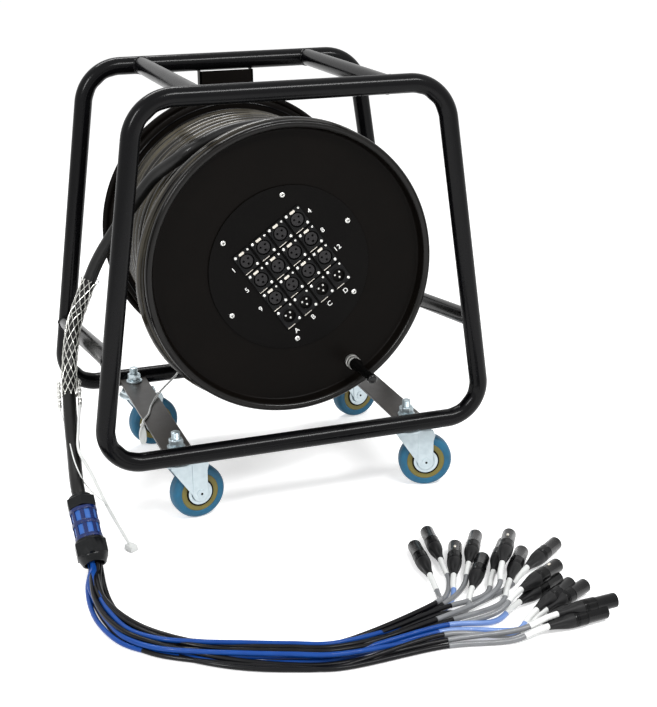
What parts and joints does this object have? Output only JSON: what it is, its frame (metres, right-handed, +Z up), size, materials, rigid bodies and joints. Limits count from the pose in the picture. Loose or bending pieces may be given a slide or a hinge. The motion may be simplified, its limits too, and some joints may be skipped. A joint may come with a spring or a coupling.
{
  "type": "stage box snake",
  "caption": "Cable drum with a round audio connector panel, turning in a tubular frame on casters, with a gland and a fan of plug-ended leads.",
  "frame": {"origin": "on the floor, midway between the frame's sides and between the crank's tip and the rear loop's back", "axes": "+X to the right as seen from the connector panel, +Y from the panel to the rear, +Z up"},
  "size_m": [0.5999, 0.7567, 0.583],
  "materials": {
    "tube_paint": "semi-gloss powder coat",
    "sheet_paint": "satin",
    "grey_steel": "satin",
    "zinc": "bright zinc",
    "tyre_blue": "matt",
    "core_olive": "matt",
    "cable_jacket": "satin",
    "black_plastic": "satin",
    "gland_blue": "clear blue",
    "clear_plastic": "translucent",
    "steel_wire": "bright",
    "latch_metal": "satin"
  },
  "bodies": {
    "frame": {"front_loop": "tube_paint", "rear_loop": "tube_paint", "top_tube_left": "tube_paint", "top_tube_right": "tube_paint", "side_tube_left": "tube_paint", "side_tube_right": "tube_paint", "caster_bar_left": "grey_steel", "caster_bar_right": "grey_steel", "rear_upright": "sheet_paint", "bearing_block": "grey_steel", "caster_stem_front_left": "zinc", "caster_stem_front_right": "zinc", "caster_stem_rear_left": "zinc", "caster_stem_rear_right": "zinc", "cable_tail": "cable_jacket", "mesh_grip": "steel_wire", "gland_nut_upper": "black_plastic", "gland_body": "gland_blue", "gland_nut_lower": "black_plastic", "fanout_leads": "cable_jacket", "tie_cord": "clear_plastic"},
    "swivel_front_left": {"caster_fork_front_left": "zinc"},
    "swivel_front_right": {"caster_fork_front_right": "zinc"},
    "swivel_rear_left": {"caster_fork_rear_left": "zinc"},
    "swivel_rear_right": {"caster_fork_rear_right": "zinc"},
    "wheel_front_left": {"caster_core_front_left": "core_olive", "caster_tyre_front_left": "tyre_blue"},
    "wheel_front_right": {"caster_core_front_right": "core_olive", "caster_tyre_front_right": "tyre_blue"},
    "wheel_rear_left": {"caster_core_rear_left": "core_olive", "caster_tyre_rear_left": "tyre_blue"},
    "wheel_rear_right": {"caster_core_rear_right": "core_olive", "caster_tyre_rear_right": "tyre_blue"},
    "drum": {"front_flange": "sheet_paint", "rear_flange": "sheet_paint", "drum_barrel": "sheet_paint", "drum_shaft": "grey_steel", "wound_cable_core": "cable_jacket", "wound_cable_rear": "cable_jacket", "wound_cable_front": "cable_jacket", "crank_bolt": "zinc", "connector_panel": "sheet_paint", "female_receptacles": "black_plastic", "male_receptacle_a": "black_plastic", "male_receptacle_b": "black_plastic", "male_receptacle_c": "black_plastic", "male_receptacle_d": "black_plastic"},
    "crank": {"crank_grip": "black_plastic"},
    "latch_1": {"push_latch_1": "latch_metal"},
    "latch_2": {"push_latch_2": "latch_metal"},
    "latch_3": {"push_latch_3": "latch_metal"},
    "latch_4": {"push_latch_4": "latch_metal"},
    "latch_5": {"push_latch_5": "latch_metal"},
    "latch_6": {"push_latch_6": "latch_metal"},
    "latch_7": {"push_latch_7": "latch_metal"},
    "latch_8": {"push_latch_8": "latch_metal"},
    "latch_9": {"push_latch_9": "latch_metal"},
    "latch_10": {"push_latch_10": "latch_metal"},
    "latch_11": {"push_latch_11": "latch_metal"},
    "latch_12": {"push_latch_12": "latch_metal"}
  },
  "joints": [
    {"name": "drum_spin", "type": "hinge", "parent": "frame", "child": "drum", "pos_m": [0, 0, 0.3337], "axis": [0, 1, 0], "continuous": true},
    {"name": "crank_spin", "type": "hinge", "parent": "drum", "child": "crank", "pos_m": [0.08595, 0, 0.19344], "axis": [0, 1, 0], "continuous": true},
    {"name": "swivel_front_left", "type": "hinge", "parent": "frame", "child": "swivel_front_left", "pos_m": [-0.1655, -0.11735, 0.0855], "axis": [0, 0, 1], "continuous": true},
    {"name": "swivel_front_right", "type": "hinge", "parent": "frame", "child": "swivel_front_right", "pos_m": [0.1655, -0.11735, 0.0855], "axis": [0, 0, 1], "continuous": true},
    {"name": "swivel_rear_left", "type": "hinge", "parent": "frame", "child": "swivel_rear_left", "pos_m": [-0.1655, 0.15265, 0.0855], "axis": [0, 0, 1], "continuous": true},
    {"name": "swivel_rear_right", "type": "hinge", "parent": "frame", "child": "swivel_rear_right", "pos_m": [0.1655, 0.15265, 0.0855], "axis": [0, 0, 1], "continuous": true},
    {"name": "wheel_front_left", "type": "hinge", "parent": "swivel_front_left", "child": "wheel_front_left", "pos_m": [-0.13891, -0.11266, 0.0375], "axis": [-0.1736, 0.9848, 0], "continuous": true},
    {"name": "wheel_front_right", "type": "hinge", "parent": "swivel_front_right", "child": "wheel_front_right", "pos_m": [0.19158, -0.12434, 0.0375], "axis": [0.2588, 0.9659, 0], "continuous": true},
    {"name": "wheel_rear_left", "type": "hinge", "parent": "swivel_rear_left", "child": "wheel_rear_left", "pos_m": [-0.13891, 0.15734, 0.0375], "axis": [-0.1736, 0.9848, 0], "continuous": true},
    {"name": "wheel_rear_right", "type": "hinge", "parent": "swivel_rear_right", "child": "wheel_rear_right", "pos_m": [0.19191, 0.15826, 0.0375], "axis": [-0.2079, 0.9781, 0], "continuous": true},
    {"name": "latch_push_1", "type": "slide", "parent": "drum", "child": "latch_1", "axis": [0, 1, 0], "range_m": [0, 0.0012], "stiffness_N_per_m": 600, "springref_m": -0.001},
    {"name": "latch_push_2", "type": "slide", "parent": "drum", "child": "latch_2", "axis": [0, 1, 0], "range_m": [0, 0.0012], "stiffness_N_per_m": 600, "springref_m": -0.001},
    {"name": "latch_push_3", "type": "slide", "parent": "drum", "child": "latch_3", "axis": [0, 1, 0], "range_m": [0, 0.0012], "stiffness_N_per_m": 600, "springref_m": -0.001},
    {"name": "latch_push_4", "type": "slide", "parent": "drum", "child": "latch_4", "axis": [0, 1, 0], "range_m": [0, 0.0012], "stiffness_N_per_m": 600, "springref_m": -0.001},
    {"name": "latch_push_5", "type": "slide", "parent": "drum", "child": "latch_5", "axis": [0, 1, 0], "range_m": [0, 0.0012], "stiffness_N_per_m": 600, "springref_m": -0.001},
    {"name": "latch_push_6", "type": "slide", "parent": "drum", "child": "latch_6", "axis": [0, 1, 0], "range_m": [0, 0.0012], "stiffness_N_per_m": 600, "springref_m": -0.001},
    {"name": "latch_push_7", "type": "slide", "parent": "drum", "child": "latch_7", "axis": [0, 1, 0], "range_m": [0, 0.0012], "stiffness_N_per_m": 600, "springref_m": -0.001},
    {"name": "latch_push_8", "type": "slide", "parent": "drum", "child": "latch_8", "axis": [0, 1, 0], "range_m": [0, 0.0012], "stiffness_N_per_m": 600, "springref_m": -0.001},
    {"name": "latch_push_9", "type": "slide", "parent": "drum", "child": "latch_9", "axis": [0, 1, 0], "range_m": [0, 0.0012], "stiffness_N_per_m": 600, "springref_m": -0.001},
    {"name": "latch_push_10", "type": "slide", "parent": "drum", "child": "latch_10", "axis": [0, 1, 0], "range_m": [0, 0.0012], "stiffness_N_per_m": 600, "springref_m": -0.001},
    {"name": "latch_push_11", "type": "slide", "parent": "drum", "child": "latch_11", "axis": [0, 1, 0], "range_m": [0, 0.0012], "stiffness_N_per_m": 600, "springref_m": -0.001},
    {"name": "latch_push_12", "type": "slide", "parent": "drum", "child": "latch_12", "axis": [0, 1, 0], "range_m": [0, 0.0012], "stiffness_N_per_m": 600, "springref_m": -0.001}
  ]
}
